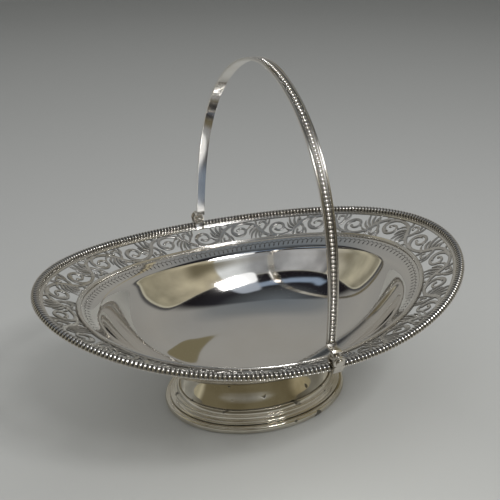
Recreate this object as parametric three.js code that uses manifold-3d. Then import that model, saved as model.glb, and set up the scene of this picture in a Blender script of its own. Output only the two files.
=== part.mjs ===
// Silver cake basket: an oval boat-shaped bowl with a pierced border and a ribbed rim,
// an oval spreading foot, and a swing handle on two hinges.
import * as THREE from 'three';
import { mergeVertices } from 'three/addons/utils/BufferGeometryUtils.js';
import Module from 'manifold-3d';

const wasm = await Module();
wasm.setup();

// Sizes in millimetres. X runs along the basket, Y across it under the handle, Z up from the table.
const rimLong = 178; // half length over the rim
const rimShort = 134.5; // half width over the rim
const rimZ = 102; // rim height at the sides
const rimRise = 18.5; // how much higher the rim stands at the two ends
const borderLong = 143; // half length of the pierced border's inner edge
const borderShort = 102.4; // half width of the same edge
const borderZ = 88.8; // its height at the sides
const borderRise = 14.2; // and how much higher it stands at the ends
const floorZ = 40; // inside floor of the bowl
const bowlWall = 1.1;
const shoulderReach = 0.9; // share of the bowl's reach where its steep wall turns out into the shoulder
const shoulderDrop = 0.115; // share of the bowl's height that lies on the shoulder
const shoulderBend = 0.02; // softness of that turn
const sheetThickness = 1.3; // pierced border, measured straight down
const footLong = 79.2; // half length of the foot where it stands
const footShort = 62.5; // half width of the same
const handleHeight = 175.8; // arch of the handle above its pivots
const handleShoulder = 2.57; // how square the arch is at the top
const handleBelly = 1.82; // how full its sides are
const handleLean = 1.8; // degrees the handle stands off upright, as seen
const strapWidthTop = 9;
const strapWidthEnd = 7.2;
const strapThickness = 2.2;
const pivotRise = 5.5; // hinge line above the rim edge
const earRadius = 4.6;
const boreRadius = 1.5;
const pinRadius = 1.2;
const knuckleRadius = 3;
const lugHalfWidth = 3.8;
const gap = 0.3; // room left between touching pieces
const cells = 24; // half waves of the scroll round the border

const pivotZ = rimZ + pivotRise;
const strapY = rimShort - 10;

// Shared geometry helpers

function closed(geometry) {
  geometry.deleteAttribute('normal');
  geometry.deleteAttribute('uv');
  const merged = mergeVertices(geometry, 1e-4);
  const at = merged.attributes.position;
  const kept = [];
  const a = new THREE.Vector3();
  const b = new THREE.Vector3();
  const c = new THREE.Vector3();
  let volume = 0;
  for (let i = 0; i < merged.index.count; i += 3) {
    const tri = [merged.index.getX(i), merged.index.getX(i + 1), merged.index.getX(i + 2)];
    if (tri[0] === tri[1] || tri[1] === tri[2] || tri[2] === tri[0]) continue;
    a.fromBufferAttribute(at, tri[0]);
    b.fromBufferAttribute(at, tri[1]);
    c.fromBufferAttribute(at, tri[2]);
    volume += a.dot(b.cross(c));
    kept.push(tri);
  }
  if (volume < 0) for (const tri of kept) tri.reverse();
  merged.setIndex(kept.flat());
  return merged;
}

function toSolid(geometry) {
  const ready = closed(geometry);
  return new wasm.Manifold(new wasm.Mesh({
    numProp: 3,
    vertProperties: Float32Array.from(ready.attributes.position.array),
    triVerts: Uint32Array.from(ready.index.array),
  }));
}

function fromSolid(solid) {
  const mesh = solid.getMesh();
  const geometry = new THREE.BufferGeometry();
  geometry.setAttribute('position', new THREE.BufferAttribute(Float32Array.from(mesh.vertProperties), 3));
  geometry.setIndex(new THREE.BufferAttribute(Uint32Array.from(mesh.triVerts), 1));
  return geometry;
}

function warp(geometry, move) {
  const at = geometry.attributes.position;
  const p = new THREE.Vector3();
  for (let i = 0; i < at.count; i += 1) {
    p.fromBufferAttribute(at, i);
    const q = move(p);
    at.setXYZ(i, q.x, q.y, q.z);
  }
  return geometry;
}

function shapeOf(points) {
  return new THREE.Shape(points.map(([x, y]) => new THREE.Vector2(x, y)));
}

function slab(shape, depth, steps = 1) {
  return new THREE.ExtrudeGeometry(shape, { depth, steps, bevelEnabled: false });
}

// A turned profile of [radius, height] pairs, standing up along Z
function turned(profile, segments) {
  const points = profile.map(([r, h]) => new THREE.Vector2(r, h));
  const geometry = new THREE.LatheGeometry(points, segments);
  return closed(geometry).rotateX(Math.PI / 2);
}

// The same, with its axis left along Y for the hinge pieces
function turnedAcross(profile, segments) {
  const points = profile.map(([r, h]) => new THREE.Vector2(r, h));
  return closed(new THREE.LatheGeometry(points, segments)).translate(0, 0, pivotZ);
}

function ringProfile(points) {
  return [...points, points[0]];
}

function silver(name, colour, roughness, geometry) {
  const material = new THREE.MeshStandardMaterial({ color: colour, roughness, metalness: 1 });
  const mesh = new THREE.Mesh(geometry, material);
  mesh.name = name;
  return mesh;
}

// The sloping border surface

function innerEdge(angle) {
  const c = Math.cos(angle);
  return new THREE.Vector3(borderLong * c, borderShort * Math.sin(angle), borderZ + borderRise * c * c);
}

function outerEdge(angle) {
  const c = Math.cos(angle);
  return new THREE.Vector3(rimLong * c, rimShort * Math.sin(angle), rimZ + rimRise * c * c);
}

// A point near one edge of the border: u outward along the slope, v up from it
function besideEdge(edge, angle, u, v) {
  const step = 1e-4;
  const tangent = edge(angle + step).sub(edge(angle - step)).normalize();
  const slope = outerEdge(angle).sub(innerEdge(angle));
  const up = slope.clone().cross(tangent).normalize();
  const across = tangent.clone().cross(up);
  return edge(angle).addScaledVector(across, u).addScaledVector(up, v);
}

function borderWidth(angle) {
  return outerEdge(angle).distanceTo(innerEdge(angle));
}

// Height of the border's upper face over any point of the plan
function borderHeight(x, y) {
  let low = -0.5;
  let high = 1.5;
  for (let i = 0; i < 40; i += 1) {
    const s = (low + high) / 2;
    const long = borderLong + (rimLong - borderLong) * s;
    const short = borderShort + (rimShort - borderShort) * s;
    if ((x / long) ** 2 + (y / short) ** 2 > 1) low = s;
    else high = s;
  }
  const c = x / (borderLong + (rimLong - borderLong) * low);
  const inside = borderZ + borderRise * c * c;
  const outside = rimZ + rimRise * c * c;
  return inside + (outside - inside) * low;
}

// Angle reached after a number of cells, equal lengths apart round the middle of the border
const arcTable = (() => {
  const steps = 1440;
  const long = (borderLong + rimLong) / 2;
  const short = (borderShort + rimShort) / 2;
  const sums = [0];
  for (let i = 0; i < steps; i += 1) {
    const t = ((i + 0.5) / steps) * 2 * Math.PI;
    sums.push(sums[i] + Math.hypot(long * Math.sin(t), short * Math.cos(t)));
  }
  return sums.map((sum) => sum / sums[steps]);
})();

function cellAngle(cell) {
  const turns = Math.floor(cell / cells);
  const share = cell / cells - turns;
  const steps = arcTable.length - 1;
  let low = 0;
  let high = steps;
  while (high - low > 1) {
    const mid = (low + high) >> 1;
    if (arcTable[mid] > share) high = mid;
    else low = mid;
  }
  const part = (share - arcTable[low]) / (arcTable[high] - arcTable[low]);
  return ((low + part) / steps + turns) * 2 * Math.PI;
}

const cellLength = 36.8; // one cell as it is drawn flat
const openWidth = 25; // the open width as it is drawn flat
const innerFrame = 3.4; // border edge to the open pattern
const outerFrame = 8.9; // open pattern to the rim edge

// From the flat drawing of the scroll to the plan of the basket
function planPoint(x, y) {
  const angle = cellAngle(x / cellLength);
  const width = borderWidth(angle);
  const along = (innerFrame + (y / openWidth) * (width - innerFrame - outerFrame)) / width;
  const p = innerEdge(angle).lerp(outerEdge(angle), along);
  return [p.x, p.y];
}

// A tapering ribbon along a line of points, as a closed outline
function ribbon(points, startWidth, endWidth) {
  const left = [];
  const right = [];
  const last = points.length - 1;
  points.forEach(([x, y], i) => {
    const before = points[Math.max(i - 1, 0)];
    const after = points[Math.min(i + 1, last)];
    const dx = after[0] - before[0];
    const dy = after[1] - before[1];
    const size = Math.hypot(dx, dy);
    const half = (startWidth + ((endWidth - startWidth) * i) / last) / 2;
    left.push([x - (dy / size) * half, y + (dx / size) * half]);
    right.unshift([x + (dy / size) * half, y - (dx / size) * half]);
  });
  return [...left, ...right];
}

function disc(x, y, radius, sides) {
  const points = [];
  for (let i = 0; i < sides; i += 1) {
    const t = (i / sides) * 2 * Math.PI;
    points.push([x + radius * Math.cos(t), y + radius * Math.sin(t)]);
  }
  return points;
}

// The wave of the main stem from one cell line to the next
function stemLine() {
  const points = [];
  for (let i = 0; i <= 5; i += 1) {
    const t = i / 5;
    const x = cellLength * t + 2.8 * Math.sin(2 * Math.PI * t);
    points.push([x, openWidth / 2 - 10.4 * Math.cos(Math.PI * t)]);
  }
  return points;
}

// The scroll that curls up inside each bay of the wave
function voluteLine() {
  const points = [];
  for (let i = 0; i <= 8; i += 1) {
    const turn = -1.75 + (i / 8) * 7.2;
    const radius = 10.4 * Math.exp(-0.16 * (turn + 1.75));
    points.push([0.4 + radius * Math.cos(turn), 12.4 + radius * Math.sin(turn)]);
  }
  return points;
}

// One bay: stem, scroll, leaf fan and tendril, drawn flat about the cell line
function bayOutlines() {
  const volute = voluteLine();
  const eye = volute[volute.length - 1];
  return [
    ribbon(stemLine(), 2.5, 2.5),
    ribbon(volute, 2.6, 1.7),
    disc(eye[0], eye[1], 2.2, 5),
    ribbon([[-16.2, 9.5], [-19.6, 17], [-20.5, 26]], 2.3, 1.6),
    ribbon([[-15.2, 9.5], [-14, 26]], 2.3, 1.8),
    ribbon([[-14.2, 9], [-11.4, 17], [-6.4, 26]], 2.6, 1.8),
    ribbon([[-13.4, 7.6], [-6.4, 13.6]], 2.6, 1.8),
    ribbon([[17.5, 12], [13, 16.6], [13.6, 21.8], [17.8, 22.6], [18, 18.6]], 2.1, 1.9),
  ];
}

// Every bay line is lifted from the flat drawing, odd bays turned over
function bayInPlan(bay) {
  const over = Math.abs(bay % 2) === 1;
  return bayOutlines().map((outline) => outline.map(([x, y]) => (
    planPoint(bay * cellLength + x, over ? openWidth - y : y)
  )));
}

// One quarter of the border's plan as a flat slab, set in from its edges and its seams
function quarterSlab(quarter, fromEdge, toRim, fromSeam, bottom, top) {
  const steps = 14;
  const span = cells / 4;
  const seam = fromSeam / cellLength;
  const bar = shapeOf([[0, bottom], [1, bottom], [1, top], [0, top]]);
  return toSolid(warp(slab(bar, steps, steps), (p) => {
    const reach = Math.min(Math.max((span * p.z) / steps, seam), span - seam);
    const angle = cellAngle(quarter * span + reach);
    const width = borderWidth(angle);
    const along = (fromEdge + p.x * (width - fromEdge - toRim)) / width;
    const q = innerEdge(angle).lerp(outerEdge(angle), along);
    return new THREE.Vector3(q.x, q.y, p.y);
  }));
}

// Pierced border: one quarter of the sheet with the scrolls left standing in it
function borderPanel(quarter) {
  const over = sheetThickness * 2;
  const under = -sheetThickness;
  const whole = quarterSlab(quarter, 1.3, 1.6, gap / 2, 0, sheetThickness);
  const window = quarterSlab(quarter, innerFrame, outerFrame, 1.2, under, over);
  const reach = quarterSlab(quarter, innerFrame - 0.4, outerFrame - 0.4, 0.9, under, over);
  let scrolls = null;
  const first = (quarter * cells) / 4;
  for (let bay = first - 1; bay <= first + cells / 4 + 1; bay += 1) {
    for (const outline of bayInPlan(bay)) {
      const stroke = toSolid(slab(shapeOf(outline), sheetThickness));
      scrolls = scrolls ? scrolls.add(stroke) : stroke;
    }
  }
  const panel = whole.subtract(window).add(scrolls.intersect(reach));
  const geometry = fromSolid(panel);
  return warp(geometry, (p) => p.setZ(p.z + borderHeight(p.x, p.y) - sheetThickness));
}

// Bowl

// The wall rises with the fourth power of the way out, so the floor is nearly flat
function bowlInside(x, y) {
  const reach = Math.hypot(x / borderLong, y / borderShort);
  const ends = reach > 0 ? (x / borderLong / reach) ** 2 : 0;
  const wall = (1 - shoulderDrop) * (reach / shoulderReach) ** 4;
  const shoulder = 1 - (shoulderDrop * (1 - reach ** 2)) / (1 - shoulderReach ** 2);
  const share = (wall + shoulder) / 2 - Math.hypot((wall - shoulder) / 2, shoulderBend);
  return floorZ + share * (borderZ - floorZ + borderRise * ends);
}

// The underside follows the inside, a wall's thickness away
function bowlOutside(x, y) {
  const step = 0.01;
  const slope = (bowlInside(x + step, y) - bowlInside(x - step, y)) / (2 * step);
  const other = (bowlInside(x, y + step) - bowlInside(x, y - step)) / (2 * step);
  return bowlInside(x, y) - bowlWall * Math.hypot(1, slope, other);
}

function bowl() {
  const rings = [0, 0.3, 0.47, 0.6, 0.71, 0.8, 0.87, 0.91, 0.95, 1];
  const inside = [];
  const outside = [];
  for (const reach of rings) {
    inside.unshift([reach, 1]);
    outside.push([reach, -1]);
  }
  outside[rings.length - 1] = [0.9985, -0.4];
  return warp(turned([...outside, ...inside], 44), (p) => {
    const x = p.x * borderLong;
    const y = p.y * borderShort;
    const top = bowlInside(x, y);
    const thinned = p.z < 0 ? -p.z * (bowlOutside(x, y) - top) : 0;
    return new THREE.Vector3(x, y, top + thinned);
  });
}

// Double thread that covers the joint between bowl and border
function edgeMoulding() {
  const section = ringProfile([[-0.5, 0.3], [2.9, 0.3], [2.4, 1.4], [1.2, 1], [0, 1.4]]);
  const base = 20;
  const geometry = turned(section.map(([u, v]) => [base + u, v]), 56);
  return warp(geometry, (p) => (
    besideEdge(innerEdge, Math.atan2(p.y, p.x), Math.hypot(p.x, p.y) - base, p.z)
  ));
}

// Rim moulding: threads inside, a bold rounded roll outside, turned under at the edge
function rimMoulding(quarter) {
  const section = shapeOf([[-9.3, 0.3], [-9, 1.4], [-7.6, 1.6], [-6.6, 1], [-5.4, 2.6], [-4, 3.4],
    [-2.4, 3.4], [-0.8, 2.5], [0, 1], [-0.3, -1.5], [-1, -1.5], [-1, 0.3]]);
  const endCut = Math.asin(gap / 2 / rimShort);
  const lugCut = Math.asin((lugHalfWidth + gap) / rimLong);
  const start = (quarter * Math.PI) / 2 + (quarter % 2 ? lugCut : endCut);
  const end = ((quarter + 1) * Math.PI) / 2 - (quarter % 2 ? endCut : lugCut);
  return closed(warp(slab(section, 1, 15), (p) => (
    besideEdge(outerEdge, start + (end - start) * p.z, p.x, p.y)
  )));
}

// Foot: every level of it is an oval set in from the one it stands on

function footRing(insets, segments) {
  const section = insets.map(([inset, z]) => [footShort - inset, z]);
  const geometry = turned(ringProfile(section), segments);
  return warp(geometry, (p) => {
    const radius = Math.hypot(p.x, p.y);
    const c = p.x / radius;
    const s = p.y / radius;
    return new THREE.Vector3((radius + footLong - footShort) * c, radius * s, p.z);
  });
}

function footWire() {
  return footRing([[5.3, 0], [1.6, 0], [0.3, 1.3], [0, 3.2], [0.6, 5.1], [2, 6.1], [5.3, 6.1]], 44);
}

function footBase() {
  return footRing([[6.2, 6.4], [4.4, 6.4], [4.4, 7.8], [5.6, 8.9], [7.8, 9.5], [8.2, 11.2], [9.9, 12],
    [10.4, 13.7], [11.8, 14.5], [13.6, 14.5], [10, 10.8]], 44);
}

function footNeck() {
  // Inset and share of the height between the stepped base and the bowl, outside then inside
  const low = 14.8;
  const outside = [[12.8, 0], [15, 0.14], [18.6, 0.34], [22.4, 0.57], [24.8, 0.77], [25.8, 1]];
  const inside = [[27.1, 1], [25.5, 0.69], [21.2, 0.4], [17.2, 0.19], [14.3, 0]];
  const neck = footRing([...outside, ...inside], 44);
  return warp(neck, (p) => p.setZ(low + p.z * (bowlOutside(p.x, p.y) - gap - low)));
}

// Hinges. Each is drawn on the far side and turned half round for the near one.

function lug() {
  const innerFace = rimShort - 6.7;
  const outerFace = rimShort + 3.5;
  const rings = ringProfile([[boreRadius, 0.1], [2.9, 0.1], [3.3, 0.6], [3.9, 0.1], [earRadius, 0.6],
    [earRadius, 2.4], [boreRadius, 2.4]]);
  const innerEar = toSolid(turnedAcross(rings.map(([r, y]) => [r, innerFace - 0.1 + y]), 16));
  const plate = ringProfile([[boreRadius, -1.8], [earRadius, -1.8], [earRadius, -0.5], [3.9, 0],
    [boreRadius, 0]]);
  const outerEar = toSolid(turnedAcross(plate.map(([r, y]) => [r, outerFace + y]), 16));
  const onSheet = (u) => {
    const p = besideEdge(outerEdge, Math.PI / 2, u, gap + 0.1);
    return [p.y, p.z];
  };
  const under = rimShort - 0.3;
  const saddleTop = pivotZ - knuckleRadius - 0.6;
  const shoulder = pivotZ - 3.2;
  const side = [
    onSheet(-10.6), [rimShort - 9.8, onSheet(-10.6)[1] + 1.2], [rimShort - 7.9, pivotZ - 5.9],
    [innerFace, pivotZ - 4.9], [innerFace, shoulder], [innerFace + 2.2, shoulder],
    [innerFace + 2.6, saddleTop], [outerFace - 2.1, saddleTop], [outerFace - 1.8, shoulder],
    [outerFace, shoulder], [outerFace, pivotZ - 5], [outerFace - 1, rimZ - 1.5],
    [outerFace - 2.2, rimZ - 3.7], [under, rimZ - 3.7], [under, rimZ + 0.1],
  ];
  // The outline is drawn in Y and Z, then pushed out along X
  const block = slab(shapeOf(side), lugHalfWidth * 2);
  warp(block, (p) => new THREE.Vector3(p.z - lugHalfWidth, p.x, p.y));
  return fromSolid(toSolid(block).add(innerEar).add(outerEar));
}

function hingePin() {
  const head = rimShort - 7.1;
  const cap = rimShort + 3.8;
  return turnedAcross([[0, head - 0.9], [1.5, head - 0.7], [2.3, head], [pinRadius, head],
    [pinRadius, cap], [2.9, cap], [2.9, cap + 0.7], [2.2, cap + 1.2], [0, cap + 1.2]], 14);
}

function knuckle() {
  const from = rimShort - 4.2;
  const to = rimShort + 1.3;
  const barrel = toSolid(turnedAcross(ringProfile([[boreRadius, from], [knuckleRadius, from],
    [knuckleRadius, to], [boreRadius, to]]), 16));
  const half = strapThickness / 2;
  const clear = earRadius + 0.6;
  const bridge = [
    [strapY - half, strapFoot - gap], [strapY - half, clear + 1.2], [strapY + 0.3, clear],
    [from, clear], [from, clear + 0.5], [from + 3.6, clear + 0.5], [from + 2.4, clear + 1.8],
    [strapY + half + 1.4, clear + 1.9], [strapY + half, strapFoot - gap],
  ];
  const stem = [[from, 2], [from + 3.6, 2], [from + 3.6, clear + 0.6], [from, clear + 0.6]];
  const plate = (outline, halfWidth) => {
    const block = slab(shapeOf(outline), halfWidth * 2);
    warp(block, (p) => new THREE.Vector3(p.z - halfWidth, p.x, pivotZ + p.y));
    return toSolid(block);
  };
  const joined = barrel.add(plate(bridge, strapWidthEnd / 2 - 0.1)).add(plate(stem, 2.6));
  return leaned(fromSolid(joined));
}

// Handle

const strapFoot = earRadius + 4; // where the strap ends above the pivot

function leaned(geometry) {
  const angle = THREE.MathUtils.degToRad(handleLean);
  return geometry.translate(0, 0, -pivotZ).rotateY(angle).translate(0, 0, pivotZ);
}

function archPoint(t) {
  const c = Math.cos(t);
  const s = Math.max(Math.sin(t), 0);
  return [-strapY * Math.sign(c) * Math.abs(c) ** (2 / handleBelly), handleHeight * s ** (2 / handleShoulder)];
}

// Points equal lengths apart along the arch, from one strap end to the other
function archLine(steps) {
  const fine = [];
  for (let i = 0; i <= 4000; i += 1) {
    const [y, h] = archPoint((i / 4000) * Math.PI);
    if (h >= strapFoot) fine.push([y, h]);
  }
  fine.unshift([-strapY, strapFoot]);
  fine.push([strapY, strapFoot]);
  const lengths = [0];
  for (let i = 1; i < fine.length; i += 1) {
    lengths.push(lengths[i - 1] + Math.hypot(fine[i][0] - fine[i - 1][0], fine[i][1] - fine[i - 1][1]));
  }
  const total = lengths[lengths.length - 1];
  const line = [];
  let at = 0;
  for (let k = 0; k <= steps; k += 1) {
    const want = (total * k) / steps;
    while (at < lengths.length - 2 && lengths[at + 1] < want) at += 1;
    const part = (want - lengths[at]) / (lengths[at + 1] - lengths[at]);
    line.push([0, 1].map((axis) => fine[at][axis] + part * (fine[at + 1][axis] - fine[at][axis])));
  }
  return line;
}

function strap() {
  const steps = 44;
  const line = archLine(steps);
  const half = strapThickness / 2;
  // Half a width across from the middle, and up from the middle of the thickness
  const section = shapeOf([[-1, -half], [1, -half], [1, half], [0.7, half], [0.62, half - 0.6],
    [-0.62, half - 0.6], [-0.7, half], [-1, half]]);
  const geometry = warp(slab(section, steps, steps), (p) => {
    const k = Math.round(p.z);
    const before = line[Math.max(k - 1, 0)];
    const after = line[Math.min(k + 1, steps)];
    const dy = after[0] - before[0];
    const dz = after[1] - before[1];
    const size = Math.hypot(dy, dz);
    const fromEnd = 1 - Math.abs((2 * k) / steps - 1);
    const width = strapWidthEnd + (strapWidthTop - strapWidthEnd) * Math.min(1, fromEnd * 1.6);
    const out = p.y;
    return new THREE.Vector3(
      (p.x * width) / 2,
      line[k][0] - (dz / size) * out,
      pivotZ + line[k][1] + (dy / size) * out,
    );
  });
  return leaned(closed(geometry));
}

function turnedRound(geometry) {
  return geometry.rotateZ(Math.PI);
}

// The handle leans one way, so its near knuckle is turned round before it is leaned
function nearKnuckle() {
  const straight = knuckle();
  const angle = THREE.MathUtils.degToRad(handleLean);
  straight.translate(0, 0, -pivotZ).rotateY(-angle).rotateZ(Math.PI).rotateY(angle);
  return straight.translate(0, 0, pivotZ);
}

const basket = new THREE.Group();
basket.name = 'silver_basket';
basket.add(silver('bowl', 0xd9d6cf, 0.14, bowl()));
basket.add(silver('bowl_edge_moulding', 0xd6d2ca, 0.2, edgeMoulding()));
for (let quarter = 0; quarter < 4; quarter += 1) {
  basket.add(silver(`pierced_border_${quarter + 1}`, 0xcfccc6, 0.26, borderPanel(quarter)));
  basket.add(silver(`rim_moulding_${quarter + 1}`, 0xd2cec8, 0.24, rimMoulding(quarter)));
}
basket.add(silver('foot_wire', 0xd4d0c9, 0.2, footWire()));
basket.add(silver('foot_base', 0xd4d0c9, 0.2, footBase()));
basket.add(silver('foot_neck', 0xd6d3cc, 0.16, footNeck()));
basket.add(silver('hinge_lug_far', 0xcdc9c2, 0.28, lug()));
basket.add(silver('hinge_lug_near', 0xcdc9c2, 0.28, turnedRound(lug())));
basket.add(silver('hinge_pin_far', 0xd8d4cd, 0.2, hingePin()));
basket.add(silver('hinge_pin_near', 0xd8d4cd, 0.2, turnedRound(hingePin())));
basket.add(silver('handle_strap', 0xd3cfc8, 0.2, strap()));
basket.add(silver('handle_knuckle_far', 0xcfcbc4, 0.26, knuckle()));
basket.add(silver('handle_knuckle_near', 0xcfcbc4, 0.26, nearKnuckle()));

export default basket;
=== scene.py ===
"""Silver swing-handled basket: silver, cut border, ribbed rim and light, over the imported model."""

import math

import bmesh
import bpy
import numpy as np
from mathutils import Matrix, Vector
from mathutils.geometry import delaunay_2d_cdt


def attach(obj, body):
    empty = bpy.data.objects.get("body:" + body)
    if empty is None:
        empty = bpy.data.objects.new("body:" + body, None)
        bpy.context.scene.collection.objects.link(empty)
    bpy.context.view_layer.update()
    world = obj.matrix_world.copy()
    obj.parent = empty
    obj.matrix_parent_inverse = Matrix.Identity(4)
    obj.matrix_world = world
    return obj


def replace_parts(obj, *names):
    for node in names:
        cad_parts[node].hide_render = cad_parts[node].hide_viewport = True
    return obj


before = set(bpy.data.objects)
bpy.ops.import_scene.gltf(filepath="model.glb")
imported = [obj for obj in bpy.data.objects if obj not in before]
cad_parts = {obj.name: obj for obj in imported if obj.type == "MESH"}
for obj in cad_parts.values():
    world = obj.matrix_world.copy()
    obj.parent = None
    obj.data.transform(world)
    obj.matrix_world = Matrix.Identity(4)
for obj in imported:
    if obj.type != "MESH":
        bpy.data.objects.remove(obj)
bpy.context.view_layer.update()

# Metres in a millimetre
MM = 0.001

# The solids' own sizes, in millimetres
RIM_LONG = 178.0
RIM_SHORT = 134.5
RIM_Z = 102.0
RIM_RISE = 18.5
BORDER_LONG = 143.0
BORDER_SHORT = 102.4
BORDER_Z = 88.8
BORDER_RISE = 14.2
FLOOR_Z = 40.0
BOWL_WALL = 1.1
SHEET = 1.2
FOOT_LONG = 79.2
FOOT_SHORT = 62.5
NECK_Z = 14.8
HANDLE_HEIGHT = 175.8
STRAP_TOP = 9.0
STRAP_END = 7.2
STRAP_THICKNESS = 2.2
STRAP_FOOT = 8.6
PIVOT_Z = RIM_Z + 5.5
STRAP_Y = RIM_SHORT - 10
LUG_HALF = 3.8
GAP = 0.3

# The bowl's shoulder, as shares of its width and height
SHOULDER_REACH = 0.9
SHOULDER_DROP = 0.115
SHOULDER_BEND = 0.02

# The handle's arch: the two powers of its curve, how soon it widens, and how far it leans
HANDLE_SHOULDER = 2.57
HANDLE_BELLY = 1.82
HANDLE_WIDENING = 1.6
HANDLE_LEAN = math.radians(1.8)

# The scroll, as it is drawn flat: the opening between two frames, and one bay to each cell
CELLS = 24
CELL = 36.8
PERIOD = 2 * CELL
OPEN = 25.0
INNER_FRAME = 3.4
OUTER_FRAME = 8.9
FRAME_IN = -2.0
FRAME_OUT = OPEN + 7.0
STEM_SWING = 10.9
STEM_SWAY = 2.8
VOLUTE_AT = (0.2, 12)
VOLUTE_RADIUS = 10.4
VOLUTE_TIGHTENING = 0.16
VOLUTE_START = -1.7
VOLUTE_TURN = 7.4

# Relief of the border: heights are shares of RELIEF, chasing and flanks are shares of a half width
RELIEF = 0.4
BEVEL = 0.45
FRAME_RISE = 0.7
CHASING = 0.42
CHASED_DEPTH = 0.45
CHASED_WIDTH = 0.12
VEIN_WIDTH = 0.22
NARROWEST_CHASED = 0.6
STEM_FLANK = 0.72
LEAF_FLANK = 0.55

# The rim, in millimetres across and up from its outer edge: roll, threads and flat band
ROLL_START = -6.4
ROLL_FOOT = -1.3
ROLL_CORE = (-3.2, 0.6)
THREAD_GAPS = (-9.3, -8.2, -6.4)
FLAT_BAND = -7.3
RIB_PITCH = 3.2
RIB_DEPTH = 0.85

# Beads of the handle: half length is a share of their pitch, half width of the strap's width
BEAD_PITCH = 2.9
BEAD_LENGTH = 0.42
BEAD_WIDTH = 0.22
BEAD_HEIGHT = 1.05
BEAD_SINK = 0.75
BEAD_BARREL = 0.7
CHANNEL_DEPTH = 0.7

# How wide the softened edges of the hinges are, in millimetres
HINGE_EDGE = 0.25
PIN_EDGE = 0.15

# The bright-cut strip, in millimetres down from the bowl's edge; widths are shares of a dart's pitch
STRIP_DARTS = 168
DART_MIDDLE = 7.0
DART_REACH = 2.0
DART_SPREAD = 0.07
SCALLOP_FOOT = 3.0
SCALLOP_DEPTH = 1.7
SCALLOP_HALF = 0.3

# How fine the meshes are: points round or along each piece
BOWL_AROUND = 288
BOWL_RINGS = 72
EDGE_AROUND = 480
FOOT_AROUND = 256
STRAP_ALONG = 361
RIB_STEPS = 8
BEAD_SIDES = 10
BEAD_ROWS = 8
FRAME_POINTS = 65
STEM_POINTS = 30
VOLUTE_POINTS = 44
TENDRIL_POINTS = 22
LEAF_POINTS = 10
BUD_POINTS = 14
SWEEP_AROUND = 96
SWEEP_BEND_POINTS = 14

# Silver: its colours, and how fine its clouds, scratches and spots are
BRIGHT = (0.90, 0.88, 0.85)
DULL = (0.80, 0.76, 0.70)
# RECESS is the dark of engraved lines and tarnish spots, and of painted shade with tarnish in hollows
RECESS = (0.06, 0.055, 0.05)
CLOUDS = 22.0
SCRATCHES = 900.0
SPOTS = 110.0

# The pale sweep, in millimetres, and the middle of the pool of light painted on its floor, in metres
SWEEP_RADIUS = 2200.0
SWEEP_BEND = 500.0
SWEEP_WALL = 300.0
PAINTED_POOL_MIDDLE = (-0.03, -0.16, 0)

# The room in the silver: its turn from +Y toward +X; its shapes' middles and half sizes in degrees
ROOM_TURN = math.radians(-156)
BROWN_SHAPE = ((-170, 32), (7, 9))
GLOW = ((-38, 61), (16, 9))
WINDOW = ((-35, 51), (13, 6.5))
LOZENGE = ((0, 30), (106, 19))

# The photograph's view
CAMERA_AT = (-259.5, -569.6, 433.1)
CAMERA_AIM = (-4.4, 2.0, 132.1)
CAMERA_LENS = 62.65


# Shared mesh helpers


def add_mesh(name, points, faces):
    """A smooth mesh in the scene, from points in millimetres."""
    mesh = bpy.data.meshes.new(name)
    mesh.from_pydata((np.asarray(points) * MM).tolist(), [], faces)
    mesh.update()
    mesh.polygons.foreach_set("use_smooth", np.ones(len(mesh.polygons), bool))
    obj = bpy.data.objects.new(name, mesh)
    bpy.context.scene.collection.objects.link(obj)
    return obj


def finish(obj, body, material):
    """Gives a piece its metal, its material slot in the record and the body it moves with."""
    obj.data.materials.clear()
    obj.data.materials.append(material)
    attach(obj, body)


def grid_faces(rows, columns, round_rows, round_columns):
    """Faces over a grid of points, and the rows and columns of their four corners."""
    i, j = np.meshgrid(
        np.arange(rows if round_rows else rows - 1),
        np.arange(columns if round_columns else columns - 1),
        indexing="ij",
    )
    i, j = i.ravel(), j.ravel()
    corners = [(i, j), (i, j + 1), (i + 1, j + 1), (i + 1, j)]
    return np.stack([(a % rows) * columns + b % columns for a, b in corners], -1), corners


def loft(name, points, body, material, round_rows=True, round_columns=True, u=None, v=None):
    """A skin over a grid of points: rows run across the section, columns run along the sweep."""
    rows, columns = points.shape[:2]
    faces, corners = grid_faces(rows, columns, round_rows, round_columns)
    obj = add_mesh(name, points.reshape(-1, 3), faces.tolist())
    if u is not None:
        uvs = np.stack([np.stack([u[b], v[a, b % columns]], -1) for a, b in corners], 1)
        layer = obj.data.uv_layers.new(name="along")
        layer.data.foreach_set("uv", np.asarray(uvs, np.float32).ravel())
    finish(obj, body, material)
    return obj


def reshape(obj, change):
    """Runs a change on an object's mesh."""
    work = bmesh.new()
    work.from_mesh(obj.data)
    change(work)
    work.to_mesh(obj.data)
    work.free()
    return obj


def outward(obj):
    """Turns every face outward, after closing any pinched ends."""

    def change(work):
        bmesh.ops.remove_doubles(work, verts=work.verts, dist=1e-7)
        bmesh.ops.recalc_face_normals(work, faces=work.faces)

    return reshape(obj, change)


def softened(outline):
    """Cuts a closed outline's corners twice, so that light runs round them."""
    points = np.asarray(outline, float)
    for _ in range(2):
        after = np.roll(points, -1, axis=0)
        near = points * 0.8 + after * 0.2
        far = points * 0.2 + after * 0.8
        points = np.stack([near, far], 1).reshape(-1, 2)
    return points


def keep_shade_and_tarnish(obj, values):
    """Keeps how much painted shade, with tarnish, each point takes where it lies low or hidden, for the
    material to darken and dull.
    """
    layer = obj.data.attributes.new("low", "FLOAT", "POINT")
    layer.data.foreach_set("value", np.asarray(values, np.float32))


def unit(vectors):
    """Vectors brought to length 1."""
    return vectors / np.linalg.norm(vectors, axis=-1, keepdims=True)


# The sloping border surface


def inner_edge(angle):
    """The oval where bowl and border meet; its ends rise."""
    c = np.cos(angle)
    return np.stack([BORDER_LONG * c, BORDER_SHORT * np.sin(angle), BORDER_Z + BORDER_RISE * c * c], -1)


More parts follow.
